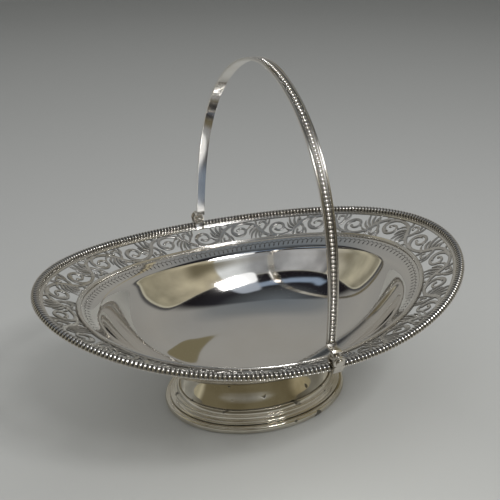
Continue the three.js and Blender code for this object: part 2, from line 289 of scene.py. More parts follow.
def outer_edge(angle):
    """The oval of the rim; its ends rise."""
    c = np.cos(angle)
    return np.stack([RIM_LONG * c, RIM_SHORT * np.sin(angle), RIM_Z + RIM_RISE * c * c], -1)


def along_edge(edge, angle):
    """A short step along an edge."""
    return edge(angle + 1e-4) - edge(angle - 1e-4)


def beside_edge(edge, angle, u, v):
    """A point near one edge of the border: u outward along the slope, v up from it."""
    tangent = unit(along_edge(edge, angle))
    up = unit(np.cross(outer_edge(angle) - inner_edge(angle), tangent))
    across = np.cross(tangent, up)
    return edge(angle) + across * np.asarray(u)[..., None] + up * np.asarray(v)[..., None]


def cell_angle(cell):
    """Angle reached after a number of cells, equal lengths apart round the middle of the border."""
    steps = 7200
    t = (np.arange(steps) + 0.5) / steps * 2 * math.pi
    long, short = (BORDER_LONG + RIM_LONG) / 2, (BORDER_SHORT + RIM_SHORT) / 2
    sums = np.concatenate([[0], np.cumsum(np.hypot(long * np.sin(t), short * np.cos(t)))])
    turns = np.floor(np.asarray(cell) / CELLS)
    share = np.asarray(cell) / CELLS - turns
    return (np.interp(share, sums / sums[-1], np.arange(steps + 1) / steps) + turns) * 2 * math.pi


def border_point(x, y, h):
    """From the flat drawing of the scroll to the border, h millimetres off its upper face."""
    angle = cell_angle(x / CELL)
    inside = inner_edge(angle)
    slope = outer_edge(angle) - inside
    width = np.linalg.norm(slope, axis=-1)
    along = ((INNER_FRAME + y / OPEN * (width - INNER_FRAME - OUTER_FRAME)) / width)[:, None]
    turn = along_edge(outer_edge, angle) * along + along_edge(inner_edge, angle) * (1 - along)
    up = unit(np.cross(slope, turn))
    return inside + slope * along + up * np.asarray(h)[..., None]


# Material helpers


def link(tree, source, target):
    tree.links.new(source, target)


def put(tree, value, socket):
    """Gives a socket a number or a colour, or links another node's output to it."""
    if isinstance(value, tuple):
        socket.default_value = (*value, 1)
    elif isinstance(value, (int, float)):
        socket.default_value = value
    else:
        link(tree, value, socket)


def node(tree, kind, **values):
    """A new node with its settings."""
    made = tree.nodes.new(kind)
    for key, value in values.items():
        setattr(made, key, value)
    return made


def object_place(tree):
    """Where a point lies on its own piece."""
    return node(tree, "ShaderNodeTexCoord").outputs["Object"]


def ray(tree, kind):
    """1 for rays of one kind, otherwise 0."""
    return node(tree, "ShaderNodeLightPath").outputs[kind]


def calc(tree, operation, first, second=0.5, third=0.5):
    """One step of arithmetic on up to three numbers or outputs."""
    made = node(tree, "ShaderNodeMath", operation=operation)
    for socket, value in zip(made.inputs, (first, second, third)):
        put(tree, value, socket)
    return made.outputs[0]


def noise(tree, place, scale, detail):
    """Cloudy noise over a place."""
    made = node(tree, "ShaderNodeTexNoise")
    put(tree, scale, made.inputs["Scale"])
    put(tree, detail, made.inputs["Detail"])
    link(tree, place, made.inputs["Vector"])
    return made.outputs["Fac"]


def ramp(tree, value, stops):
    """A colour ramp from (place, colour) stops."""
    made = node(tree, "ShaderNodeValToRGB")
    keys = made.color_ramp.elements
    for k, (place, colour) in enumerate(stops):
        key = keys[k] if k < 2 else keys.new(place)
        key.position = place
        key.color = (*colour, 1)
    link(tree, value, made.inputs["Fac"])
    return made.outputs["Color"]


def ranged(tree, value, low, high, start=0.0, end=1.0, kind="SMOOTHSTEP"):
    """Maps one range to another, easing at both ends unless the kind is LINEAR."""
    made = node(tree, "ShaderNodeMapRange", interpolation_type=kind)
    for name, number in zip(("From Min", "From Max", "To Min", "To Max"), (low, high, start, end)):
        put(tree, number, made.inputs[name])
    link(tree, value, made.inputs["Value"])
    return made.outputs["Result"]


def blend(tree, share, first, second, mode="MIX"):
    """Blends from a first colour to a second, each a node's output or a plain colour."""
    made = node(tree, "ShaderNodeMix", data_type="RGBA", blend_type=mode)
    for name, value in zip(("Factor", "A", "B"), (share, first, second)):
        put(tree, value, made.inputs[name])
    return made.outputs["Result"]


# Silver


def silver(name, bright, dull, roughness, scratch, marks=None):
    """Polished silver: a little cloudy and finely scratched, darkened and dulled by its marks, which are
    engraved lines, tarnish spots, and painted shade with tarnish in its hollows, as each piece has them.
    """
    material = bpy.data.materials.new("shown_" + name)
    material["slot"] = name
    material.use_nodes = True
    tree = material.node_tree
    cloud = noise(tree, object_place(tree), CLOUDS, 4.0)
    colour = blend(tree, ranged(tree, cloud, 0.42, 0.72, kind="LINEAR"), bright, dull)
    rough = ranged(tree, cloud, 0, 1, roughness * 0.8, roughness * 1.25, "LINEAR")
    height = calc(tree, "MULTIPLY", noise(tree, object_place(tree), SCRATCHES, 3.0), scratch)
    if marks:
        depth = marks(tree)
        height = calc(tree, "SUBTRACT", height, depth)
        # Marks darken the colour toward RECESS: painted shade with tarnish in hollows, engraved lines and
        # tarnish spots
        colour = blend(tree, calc(tree, "MULTIPLY", depth, 0.95), colour, RECESS)
        rough = calc(tree, "MULTIPLY_ADD", depth, 0.3, rough)
    bump = node(tree, "ShaderNodeBump")
    put(tree, 0.35, bump.inputs["Strength"])
    put(tree, 0.0002, bump.inputs["Distance"])
    put(tree, height, bump.inputs["Height"])
    shader = tree.nodes["Principled BSDF"]
    put(tree, 1.0, shader.inputs["Metallic"])
    put(tree, bump.outputs["Normal"], shader.inputs["Normal"])
    put(tree, rough, shader.inputs["Roughness"])
    put(tree, colour, shader.inputs["Base Color"])
    return material


def engraved_strip(tree):
    """Bright-cut strip below the bowl's edge: darts across it, and scallops along its upper line."""
    place = node(tree, "ShaderNodeSeparateXYZ")
    link(tree, node(tree, "ShaderNodeUVMap", uv_map="along").outputs["UV"], place.inputs["Vector"])
    down = place.outputs["Y"]
    side = calc(tree, "ABSOLUTE", calc(tree, "SUBTRACT", calc(tree, "FRACT", place.outputs["X"]), 0.5))
    reach = calc(tree, "ABSOLUTE", calc(tree, "SUBTRACT", down, DART_MIDDLE))
    taper = calc(tree, "MULTIPLY", calc(tree, "SUBTRACT", DART_REACH, reach), DART_SPREAD)
    dart = calc(tree, "GREATER_THAN", taper, side)
    wave = calc(tree, "COSINE", calc(tree, "MULTIPLY", side, math.pi))
    off = calc(tree, "SUBTRACT", down, calc(tree, "MULTIPLY_ADD", wave, SCALLOP_DEPTH, SCALLOP_FOOT))
    scallop = calc(tree, "LESS_THAN", calc(tree, "ABSOLUTE", off), SCALLOP_HALF)
    return calc(tree, "MAXIMUM", dart, scallop)


def painted_shade_and_tarnish(tree):
    """Painted shade, with tarnish, where the relief lies low, from the value kept on the mesh."""
    return node(tree, "ShaderNodeAttribute", attribute_name="low").outputs["Fac"]


def tarnish_spots(tree):
    """A few small dark spots of tarnish."""
    return ranged(tree, noise(tree, object_place(tree), SPOTS, 1.0), 0.69, 0.73, 0, 0.8)


bowl_silver = silver("bowl_silver", BRIGHT, (0.86, 0.83, 0.79), 0.06, 0.01, engraved_strip)
border_silver = silver("pierced_silver", BRIGHT, DULL, 0.15, 0.05, painted_shade_and_tarnish)
moulding_silver = silver("moulding_silver", BRIGHT, DULL, 0.14, 0.04, painted_shade_and_tarnish)
# The foot's warm yellow tint is partly tarnish and partly a painted reflection of warm brown surroundings
foot_silver = silver("foot_silver", (0.84, 0.80, 0.71), (0.52, 0.46, 0.34), 0.07, 0.015, tarnish_spots)
strap_silver = silver("strap_silver", BRIGHT, DULL, 0.08, 0.03, painted_shade_and_tarnish)
hinge_silver = silver("hinge_silver", (0.74, 0.71, 0.66), (0.5, 0.46, 0.4), 0.17, 0.05)


# Bowl


def bowl_inside(x, y):
    """Height of the bowl's inner face: a wall and a flatter shoulder, run into each other."""
    reach = np.hypot(x / BORDER_LONG, y / BORDER_SHORT)
    ends = (x / BORDER_LONG) ** 2 / np.maximum(reach, 1e-9) ** 2
    wall = (1 - SHOULDER_DROP) * (reach / SHOULDER_REACH) ** 4
    shoulder = 1 - SHOULDER_DROP * (1 - reach**2) / (1 - SHOULDER_REACH**2)
    share = (wall + shoulder) / 2 - np.hypot((wall - shoulder) / 2, SHOULDER_BEND)
    return FLOOR_Z + share * (BORDER_Z - FLOOR_Z + BORDER_RISE * ends)


def bowl_outside(x, y):
    """Height of the bowl's outer face, one wall away from the inner one."""
    step = 0.01
    slope = (bowl_inside(x + step, y) - bowl_inside(x - step, y)) / (2 * step)
    other = (bowl_inside(x, y + step) - bowl_inside(x, y - step)) / (2 * step)
    return bowl_inside(x, y) - BOWL_WALL * np.sqrt(1 + slope**2 + other**2)


def build_bowl():
    """Inside, lip and outside of the bowl in one skin; u counts darts, v is the way down from the edge."""
    # The rings stand closer together toward the edge
    reach = np.linspace(0, 1, BOWL_RINGS) ** 0.7
    angle = np.linspace(0, 2 * math.pi, BOWL_AROUND, endpoint=False)
    x = reach[:, None] * BORDER_LONG * np.cos(angle)
    y = reach[:, None] * BORDER_SHORT * np.sin(angle)
    top = np.stack([x, y, bowl_inside(x, y)], -1)
    base = np.stack([x, y, bowl_outside(x, y)], -1)
    # The lip is thinned to less than half the wall
    base[-1, :, 2] = top[-1, :, 2] + 0.45 * (base[-1, :, 2] - top[-1, :, 2])
    steps = np.linalg.norm(np.diff(top, axis=0), axis=-1)
    down = np.vstack([np.cumsum(steps[::-1], axis=0)[::-1], np.zeros((1, BOWL_AROUND))])
    far_below = np.full((BOWL_RINGS, BOWL_AROUND), 60.0)
    edge = np.linalg.norm(np.diff(np.vstack([top[-1], top[-1][:1]]), axis=0), axis=-1)
    u = np.concatenate([[0], np.cumsum(edge)])
    u *= STRIP_DARTS / u[-1]
    points = np.concatenate([top, base[::-1]])
    v = np.vstack([down, far_below])
    return outward(loft("raised_bowl", points, "basket", bowl_silver, False, True, u, v))


def build_edge_moulding():
    """Double thread over the joint of bowl and border."""
    section = softened([
        [-0.5, 0.3], [2.9, 0.3], [2.7, 1.2], [2, 1.45], [1.3, 0.85], [1.1, 0.85], [0.5, 1.45], [-0.3, 1.2],
    ])
    angle = np.linspace(0, 2 * math.pi, EDGE_AROUND, endpoint=False)
    points = beside_edge(inner_edge, angle[None, :], section[:, :1], section[:, 1:] + 0 * angle)
    return outward(loft("edge_thread", points, "basket", moulding_silver))


# Rim


def build_rim(name, start, end):
    """Half the rim: threads inside and a roll of ribs outside, between the two hinge lugs."""
    section = softened([
        [-9.3, 0.2], [-9.2, 0.5], [-8.9, 0.65], [-8.6, 0.55], [-8.3, 0.3], [-7.9, 0.7], [-7, 0.55],
        [-6.4, 0.3], [-6.2, 1.2], [-5.8, 2.5], [-4.9, 3.2], [-3.5, 3.45], [-2.1, 3.3], [-0.9, 2.6],
        [-0.1, 1.3], [0.1, -0.3], [-0.2, -1.5], [-1, -1.5], [-1, 0.3],
    ])
    fine = np.linspace(start, end, 4001)
    steps = np.linalg.norm(np.diff(outer_edge(fine), axis=0), axis=-1)
    length = np.concatenate([[0], np.cumsum(steps)])
    ribs = round(length[-1] / RIB_PITCH)
    along = np.linspace(0, length[-1], ribs * RIB_STEPS + 1)
    angle = np.interp(along, length, fine)
    groove = 0.5 + 0.5 * np.cos(along / length[-1] * ribs * 2 * math.pi)
    u, v = section[:, 0], section[:, 1]
    on_roll = np.clip((u - ROLL_START) / 0.3, 0, 1) * np.clip((v - ROLL_FOOT) / 0.6, 0, 1)
    dip = on_roll[:, None] * groove[None, :]
    inward = unit(np.array(ROLL_CORE) - section)
    uu = u[:, None] + inward[:, :1] * dip * RIB_DEPTH
    vv = v[:, None] + inward[:, 1:] * dip * RIB_DEPTH
    points = beside_edge(outer_edge, angle[None, :] + 0 * uu, uu, vv)
    obj = loft(name, points, "basket", moulding_silver, True, False)
    # Painted shade with tarnish: dark lines between the threads, a band before the ribs, and the grooves
    between = sum(np.clip(1.4 - np.abs(u - line) / 0.4, 0, 1) for line in THREAD_GAPS)
    band = 0.85 * np.clip(1.6 - np.abs(u - FLAT_BAND) / 0.5, 0, 1)
    low = 3 * dip - 0.9 + np.maximum(between, band)[:, None]
    keep_shade_and_tarnish(obj, np.clip(low, 0, 1).ravel())
    return obj


# Strokes of the scroll: a line, its half widths, and where it is chased, or 0 for a leaf's middle vein


def curve(points, count):
    """A smooth line through a few points."""
    points = np.asarray(points, float)
    ends = np.vstack([2 * points[0] - points[1], points, 2 * points[-1] - points[-2]])
    t = np.linspace(0, len(points) - 1, count)
    k = np.minimum(t.astype(int), len(points) - 2)
    f = (t - k)[:, None]
    a, b, c, d = ends[k], ends[k + 1], ends[k + 2], ends[k + 3]
    return 0.5 * (2 * b + (c - a) * f + (2 * a - 5 * b + 4 * c - d) * f**2 + (3 * b - a - 3 * c + d) * f**3)


def stem_line():
    """The wavy stem, through one cell from one frame toward the other."""
    t = np.linspace(0, 1, STEM_POINTS)
    x = CELL * t + STEM_SWAY * np.sin(2 * math.pi * t)
    return np.stack([x, OPEN / 2 - STEM_SWING * np.cos(math.pi * t)], -1)


def volute_line():
    """The scroll that curls in from the stem."""
    turn = np.linspace(0, 1, VOLUTE_POINTS) * VOLUTE_TURN
    radius = (VOLUTE_RADIUS * np.exp(-VOLUTE_TIGHTENING * turn))[:, None]
    way = turn + VOLUTE_START
    return np.array(VOLUTE_AT) + radius * np.stack([np.cos(way), np.sin(way)], -1)


def swelling(line, ends, middle):
    """A chased line that swells from its ends to its middle."""
    t = np.linspace(0, 1, len(line))
    return line, (ends + (middle - ends) * np.sin(math.pi * t) ** 2) / 2, CHASING


def tapering(line, start, end):
    """A chased line that changes its width evenly."""
    return line, np.linspace(start, end, len(line)) / 2, CHASING


def leaf(points, width):
    """A frond, narrow at its root, full in the middle and pointed at its tip."""
    t = np.linspace(0, 1, LEAF_POINTS)
    shape = 0.45 + 0.55 * np.sin(math.pi * t**0.75)
    return curve(points, LEAF_POINTS), width / 2 * shape * np.clip(1.25 - t**4, 0.25, 1), 0


def bud(centre, size):
    """A round eye at the end of a scroll."""
    ring = np.linspace(0, 2.1 * math.pi, BUD_POINTS)
    line = centre + size / 2 * np.stack([np.cos(ring), np.sin(ring)], -1)
    return line, np.full(BUD_POINTS, size / 2), 0


def bay_strokes():
    """One bay: stem, scroll with its eye, palmette, tendril and small leaves, about the cell line."""
    volute = volute_line()
    bends = [[16.8, 9.6], [13.6, 13.6], [12.4, 18.6], [14.6, 22.4], [18.2, 21.8], [18, 18.6]]
    tendril = curve(bends, TENDRIL_POINTS)
    return [
        swelling(stem_line(), 2.7, 3.5),
        tapering(volute, 3.2, 1.8),
        bud(volute[-1], 1.5),
        leaf([[-6.9, 10], [-4.2, 12.8], [-3.6, 16]], 2.0),
        leaf([[7.6, 11.6], [5, 15.2], [1.6, 15.8]], 2.2),
        leaf([[-19.4, 13.6], [-20.6, 18], [-24, 20.8]], 2.0),
        leaf([[-18.6, 12.8], [-17.6, 19.4], [-19.4, 26.6]], 2.3),
        leaf([[-17.8, 11.6], [-14.2, 18.4], [-14, 26.6]], 2.4),
        leaf([[-16.8, 10.2], [-11, 16.4], [-8.6, 26.6]], 2.4),
        leaf([[-15.4, 8.6], [-10, 12], [-7.6, 18]], 2.2),
        leaf([[-13, 6.4], [-9.6, 7.2], [-6.8, 10]], 1.8),
        tapering(tendril, 2.5, 1.7),
        bud(tendril[-1], 1.2),
        leaf([[13, 15], [9.8, 19.6], [8.6, 26.6]], 2.3),
        leaf([[12.8, 19.6], [12.4, 23], [13.6, 26.6]], 2.0),
        leaf([[22.4, 17.6], [21.6, 21.4], [22.8, 26.6]], 2.1),
        leaf([[14.4, 6.8], [17.4, 4.6], [19.2, -1.4]], 2.1),
        leaf([[8.6, 3.4], [10.6, 1.6], [12.6, -1.4]], 2.0),
    ]


def period_strokes():
    """Every stroke that reaches into two neighbouring cells, the odd bays turned over."""
    strokes = []
    for bay in range(-2, 5):
        for line, half, chase in bay_strokes():
            if bay % 2:
                line = line * [1, -1] + [0, OPEN]
            strokes.append((line + [bay * CELL, 0], half, chase))
    return strokes


def stroke_sides(line, half):
    """From each point of a stroke's line to its left side."""
    step = np.gradient(line, axis=0)
    side = unit(np.stack([-step[:, 1], step[:, 0]], -1))
    return side * half[:, None]


def relief_at(points, strokes):
    """Height of the chased scrolls at flat points, below zero off the metal: the highest stroke wins."""
    height = np.full(len(points), -1.0)
    for line, half, chase in strokes:
        near = (points > line.min(0) - 3).all(1) & (points < line.max(0) + 3).all(1)
        if not near.any():
            continue
        p = points[near][:, None, :]
        a, b = line[None, :-1], line[None, 1:]
        t = ((p - a) * (b - a)).sum(-1) / np.maximum(((b - a) ** 2).sum(-1), 1e-9)
        beyond = np.zeros(t.shape, bool)
        beyond[:, 0] = t[:, 0] < -1e-3
        beyond[:, -1] |= t[:, -1] > 1 + 1e-3
        t = np.clip(t, 0, 1)
        away = np.linalg.norm(p - a - (b - a) * t[..., None], axis=-1)
        width = half[None, :-1] + (half[1:] - half[:-1])[None] * t
        edge = np.clip((width + 1e-4 - away) / BEVEL, 0, 1)
        groove = (away / np.maximum(width, 1e-6) - chase) / (CHASED_WIDTH if chase else VEIN_WIDTH)
        chased = CHASED_DEPTH * np.exp(-(groove**2)) * (width > NARROWEST_CHASED)
        on_metal = (away < width + 1e-4) & ~beyond
        rise = np.where(on_metal, np.maximum(edge * (2 - edge) - chased, 0), -1).max(1)
        height[near] = np.maximum(height[near], rise)
    return height


# Pierced border


def drawn_lines(strokes):
    """Outlines and chased lines of one period's strokes, and the frames, as corners and edges."""
    verts, edges = [], []

    def add(points):
        first = len(verts)
        verts.extend(Vector(p) for p in points)
        edges.extend((first + i, first + i + 1) for i in range(len(points) - 1))

    for line, half, chase in strokes:
        if line[:, 0].max() < -2 or line[:, 0].min() > PERIOD + 2:
            continue
        side = stroke_sides(line, half)
        add(np.vstack([line + side, (line - side)[::-1], line[:1] + side[:1]]))
        chased = (-STEM_FLANK, -chase, 0, chase, STEM_FLANK)
        veined = (-LEAF_FLANK, 0, LEAF_FLANK)
        for share in chased if chase else veined:
            add(line + side * share)
    for level in (FRAME_IN, 0.0, OPEN, FRAME_OUT):
        add([(x, level) for x in np.linspace(0, PERIOD, FRAME_POINTS)])
    for x in (0, PERIOD):
        add([(x, FRAME_IN), (x, FRAME_OUT)])
    return verts, edges


def flat_metal(strokes):
    """Points and triangles of the metal in one period of the flat drawing."""
    verts, edges = drawn_lines(strokes)
    flat, _, faces, _, _, _ = delaunay_2d_cdt(verts, edges, [], 0, 1e-4, False)
    flat = np.array([tuple(p) for p in flat])
    faces = np.array([list(face) for face in faces])
    middle = flat[faces].mean(1)
    x, y = middle.T
    metal = (relief_at(middle, strokes) >= 0) | (y < 0) | (y > OPEN)
    inside = (x > 0) & (x < PERIOD) & (y > FRAME_IN) & (y < FRAME_OUT)
    used, solid = np.unique(faces[metal & inside], return_inverse=True)
    return flat[used], solid.reshape(-1, 3)


def open_sides(flat, solid):
    """The outline of the metal: sides that only one triangle uses, but for the seams between periods."""
    sides = np.concatenate([solid[:, [0, 1]], solid[:, [1, 2]], solid[:, [2, 0]]])
    keys = {(a, b) for a, b in sides.tolist()}
    walls = np.array(sorted((a, b) for a, b in keys if (b, a) not in keys))
    x = flat[walls][:, :, 0]
    seam = (np.abs(x) < 1e-3).all(1) | (np.abs(x - PERIOD) < 1e-3).all(1)
    return walls[~seam]


def build_border():
    """The pierced sheet: two cells cut out flat, repeated round the basket and bent to its surface."""
    strokes = period_strokes()
    flat, solid = flat_metal(strokes)
    rise = np.maximum(relief_at(flat, strokes), 0)
    on_frame = (flat[:, 1] < 0.05) | (flat[:, 1] > OPEN - 0.05)
    rise = np.where(on_frame, np.maximum(FRAME_RISE, rise), rise)
    walls = open_sides(flat, solid)
    count, wall_count = len(flat), 2 * len(walls)
    points, faces, low = [], [], []
    for turn in range(CELLS // 2):
        first = turn * 2 * (count + wall_count)
        x, y = flat[:, 0] + turn * PERIOD, flat[:, 1]
        top = border_point(x, y, (rise - 1) * RELIEF)
        base = border_point(x, y, np.full(count, -SHEET))
        points += [top, base, top[walls.ravel()], base[walls.ravel()]]
        # Painted shade with tarnish in the relief's low places, and painted shade a little on the underside
        # and most on the openings' walls
        low += [0.8 * (1 - rise), np.full(count, 0.3), np.full(wall_count, 0.7), np.full(wall_count, 0.85)]
        faces += (solid + first).tolist()
        faces += (solid[:, ::-1] + first + count).tolist()
        corner = first + 2 * count + 2 * np.arange(len(walls))
        faces += np.stack([corner, corner + wall_count, corner + wall_count + 1, corner + 1], -1).tolist()
    obj = add_mesh("scroll_border", np.concatenate(points), faces)
    finish(obj, "basket", border_silver)
    keep_shade_and_tarnish(obj, np.concatenate(low))
    return obj


# Foot: sections give how far in from the edge that the foot stands on, and how high


def swept_round_foot(section):
    """Points of a section, softened and swept round the foot's oval."""
    section = softened(section)
    angle = np.linspace(0, 2 * math.pi, FOOT_AROUND, endpoint=False)
    radius = FOOT_SHORT - section[:, :1]
    return np.stack([
        (radius + FOOT_LONG - FOOT_SHORT) * np.cos(angle),
        radius * np.sin(angle),
        section[:, 1:] + 0 * angle,
    ], -1)


def build_foot():
    """Base wire, stepped mouldings and concave neck."""
    wire = [[5.3, 0], [1.6, 0], [0.3, 1.3], [0, 3.2], [0.6, 5.1], [2, 6.1], [4.6, 6.1], [5.3, 5.2]]
    base = [
        [6.2, 6.4], [4.4, 6.4], [4.2, 7.4], [4.8, 8.4], [6.4, 9], [7.6, 9.3], [7.9, 10.2], [8.1, 11.2],
        [8.9, 11.8], [9.9, 12], [10, 12.9], [10.4, 14], [10.8, 15], [11.5, 15.4], [12.2, 15.2],
        [12.6, 14.5], [13.6, 14.5], [10, 10.8],
    ]
    # The neck's heights are shares of the way from the mouldings to the bowl
    neck = [
        [12.8, 0], [13.6, 0.05], [15, 0.14], [16.7, 0.235], [18.6, 0.34], [20.5, 0.45], [22.4, 0.57],
        [23.8, 0.67], [24.8, 0.77], [25.5, 0.88], [25.8, 1], [27.1, 1], [25.5, 0.69], [21.2, 0.4],
        [17.2, 0.19], [14.3, 0],
    ]
    for name, section, node_name in (("base_wire", wire, "foot_wire"), ("base_steps", base, "foot_base")):
        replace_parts(outward(loft(name, swept_round_foot(section), "basket", foot_silver)), node_name)
    points = swept_round_foot(neck)
    top = bowl_outside(points[..., 0], points[..., 1]) - GAP
    points[..., 2] = NECK_Z + points[..., 2] * (top - NECK_Z)
    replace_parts(outward(loft("concave_neck", points, "basket", foot_silver)), "foot_neck")


# Handle


def leaned(points):
    """Leans points about the pivot, as the handle stands in the photograph."""
    turned = points.copy()
    up = points[..., 2] - PIVOT_Z
    turned[..., 0] = points[..., 0] * math.cos(HANDLE_LEAN) + up * math.sin(HANDLE_LEAN)
    turned[..., 2] = PIVOT_Z - points[..., 0] * math.sin(HANDLE_LEAN) + up * math.cos(HANDLE_LEAN)
    return turned


def arch_line(count):
    """Points, lengths and outward directions at equal steps along the handle's arch."""
    t = np.linspace(0, math.pi, 20001)
    c, s = np.cos(t), np.maximum(np.sin(t), 0)
    y = -STRAP_Y * np.sign(c) * np.abs(c) ** (2 / HANDLE_BELLY)
    h = HANDLE_HEIGHT * s ** (2 / HANDLE_SHOULDER)
    keep = h >= STRAP_FOOT
    y = np.concatenate([[-STRAP_Y], y[keep], [STRAP_Y]])
    h = np.concatenate([[STRAP_FOOT], h[keep], [STRAP_FOOT]])
    length = np.concatenate([[0], np.cumsum(np.hypot(np.diff(y), np.diff(h)))])
    at = np.linspace(0, length[-1], count)
    line = np.stack([np.interp(at, length, y), np.interp(at, length, h)], -1)
    step = unit(np.gradient(line, axis=0))
    return line, at, np.stack([-step[:, 1], step[:, 0]], -1)


def strap_width(share):
    """Width of the strap at a share of its length: narrow at both ends, wide over the top."""
    from_end = 1 - np.abs(2 * share - 1)
    return STRAP_END + (STRAP_TOP - STRAP_END) * np.minimum(1, from_end * HANDLE_WIDENING)


def build_strap():
    """Handle strap: plain inside, two raised edges outside with a channel for the beads between them."""
    half = STRAP_THICKNESS / 2
    floor = half - CHANNEL_DEPTH
    section = softened([
        [-1, 0.15 - half], [-0.97, -half], [-0.9, -half], [0.9, -half], [0.97, -half], [1, 0.15 - half],
        [1, half], [0.86, half], [0.72, half], [0.64, floor], [0, floor], [-0.64, floor], [-0.72, half],
        [-0.86, half], [-1, half],
    ])
    line, at, out = arch_line(STRAP_ALONG)
    x = section[:, :1] * strap_width(at / at[-1])[None] / 2
    y = line[None, :, 0] + out[None, :, 0] * section[:, 1:]
    z = PIVOT_Z + line[None, :, 1] + out[None, :, 1] * section[:, 1:]
    obj = loft("arched_strap", leaned(np.stack([x, y, z], -1)), "handle", strap_silver, True, False)
    # Painted shade with tarnish in the bead channel, and a little painted shade over the rest of the outer
    # face
    channel = np.where(np.abs(section[:, 0]) < 0.66, 0.85, 0.3) * (section[:, 1] > 0.2)
    keep_shade_and_tarnish(obj, (channel[:, None] + 0 * x).ravel())

    def close_ends(work):
        bmesh.ops.holes_fill(work, edges=[e for e in work.edges if e.is_boundary])
        bmesh.ops.recalc_face_normals(work, faces=work.faces)

    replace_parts(reshape(obj, close_ends), "handle_strap")


def build_beads():
    """The row of beads, each one lying across the strap between its raised edges."""
    line, at, out = arch_line(2401)
    count = int(at[-1] / BEAD_PITCH)
    where = np.linspace(0, len(at) - 1, count * 2 + 1)[1::2].round().astype(int)
    turn = np.linspace(0, 2 * math.pi, BEAD_SIDES, endpoint=False)
    tall = np.linspace(0, math.pi, BEAD_ROWS)[:, None]
    along = np.sin(tall) ** BEAD_BARREL * np.cos(turn) * BEAD_PITCH * BEAD_LENGTH
    rise = np.sin(tall) ** BEAD_BARREL * np.sin(turn) * BEAD_HEIGHT + STRAP_THICKNESS / 2 - BEAD_SINK
    skin, _ = grid_faces(BEAD_ROWS, BEAD_SIDES, False, True)
    points, faces = [], []
    for k in where:
        run = unit(np.array([out[k][1], -out[k][0]]))
        across = np.cos(tall) * strap_width(k / (len(at) - 1)) * BEAD_WIDTH + 0 * turn
        y = line[k, 0] + run[0] * along + out[k, 0] * rise
        z = PIVOT_Z + line[k, 1] + run[1] * along + out[k, 1] * rise
        faces += (skin + len(points) * BEAD_ROWS * BEAD_SIDES).tolist()
        points.append(np.stack([across, y, z], -1).reshape(-1, 3))
    obj = add_mesh("strap_beads", leaned(np.concatenate(points)), faces)
    finish(obj, "handle", strap_silver)
    outward(obj)


# Hinges: the solids' own forms with softened edges


def softened_copy(node_name, name, body, width):
    """A solid's own mesh, with its sharp edges bevelled."""
    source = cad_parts[node_name]
    obj = bpy.data.objects.new(name, source.data.copy())
    bpy.context.scene.collection.objects.link(obj)
    finish(obj, body, hinge_silver)

    def change(work):
        bmesh.ops.remove_doubles(work, verts=work.verts, dist=1e-6)
        bmesh.ops.dissolve_limit(work, angle_limit=math.radians(2), verts=work.verts, edges=work.edges)
        sharp = [e for e in work.edges if e.is_manifold and e.calc_face_angle(0) > math.radians(30)]
        bmesh.ops.bevel(
            work, geom=sharp, offset=width * MM, segments=2, affect="EDGES", profile=0.6, clamp_overlap=True
        )

    reshape(obj, change)
    obj.data.polygons.foreach_set("use_smooth", np.ones(len(obj.data.polygons), bool))
    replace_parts(obj, node_name)


# Putting it together


def build_basket():
    """Every piece, each one standing in for its solids."""
    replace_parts(build_bowl(), "bowl")
    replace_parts(build_edge_moulding(), "bowl_edge_moulding")
    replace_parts(build_border(), *[f"pierced_border_{k}" for k in (1, 2, 3, 4)])
    cut = math.asin((LUG_HALF + GAP) / RIM_LONG)
    quarter = math.pi / 2
    right = build_rim("ribbed_rim_right", cut - quarter, quarter - cut)
    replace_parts(right, "rim_moulding_1", "rim_moulding_4")
    left = build_rim("ribbed_rim_left", quarter + cut, 3 * quarter - cut)
    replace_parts(left, "rim_moulding_2", "rim_moulding_3")
    build_foot()
    build_strap()
    build_beads()
    for side in ("near", "far"):
        softened_copy(f"hinge_lug_{side}", f"lug_{side}", "basket", HINGE_EDGE)
        softened_copy(f"hinge_pin_{side}", f"pin_{side}", "basket", PIN_EDGE)
        softened_copy(f"handle_knuckle_{side}", f"knuckle_{side}", "handle", HINGE_EDGE)


# Floor


def pale_sweep():
    """The sweep's paint: a painted pool of light as the camera sees it, and painted reflections, dark brown
    on the camera's side, as the silver mirrors it.
    """
    material = bpy.data.materials.new("pale_sweep")
    material.use_nodes = True
    tree = material.node_tree
    away = node(tree, "ShaderNodeVectorMath", operation="DISTANCE")
    away.inputs[1].default_value = PAINTED_POOL_MIDDLE
    link(tree, object_place(tree), away.inputs[0])
    # Painted light: a pool of light round the basket that fades with distance, darkest before the curve and
    # lighter again up the backdrop
    painted_pool_floor = ramp(tree, calc(tree, "DIVIDE", away.outputs["Value"], 3.0), [
        (0.0, (0.60, 0.605, 0.58)), (0.06, (0.47, 0.475, 0.46)), (0.2, (0.40, 0.405, 0.40)),
        (0.35, (0.33, 0.335, 0.33)), (0.63, (0.22, 0.225, 0.22)), (0.72, (0.20, 0.205, 0.20)),
        (0.82, (0.30, 0.305, 0.30)), (1.0, (0.34, 0.345, 0.34)),
    ])
    toward = node(tree, "ShaderNodeVectorMath", operation="DOT_PRODUCT")
    toward.inputs[1].default_value = (math.sin(ROOM_TURN), math.cos(ROOM_TURN), 0)
    link(tree, object_place(tree), toward.inputs[0])
    # Painted reflection: the floor as the silver mirrors it, pale away from the camera and dark brown
    # toward it
    painted_reflection_floor = ramp(tree, calc(tree, "MULTIPLY_ADD", toward.outputs["Value"], 0.18, 0.5), [
        (0.0, (0.66, 0.66, 0.63)), (0.2, (0.62, 0.62, 0.59)), (0.32, (0.42, 0.42, 0.40)),
        (0.45, (0.42, 0.42, 0.40)), (0.53, (0.46, 0.46, 0.44)), (0.6, (0.38, 0.37, 0.33)),
        (0.75, (0.18, 0.165, 0.13)),
    ])
    shader = tree.nodes["Principled BSDF"]
    put(tree, 0.9, shader.inputs["Roughness"])
    put(tree, blend(tree, ray(tree, "Is Glossy Ray"), painted_pool_floor, painted_reflection_floor), shader.inputs["Base Color"])
    return material


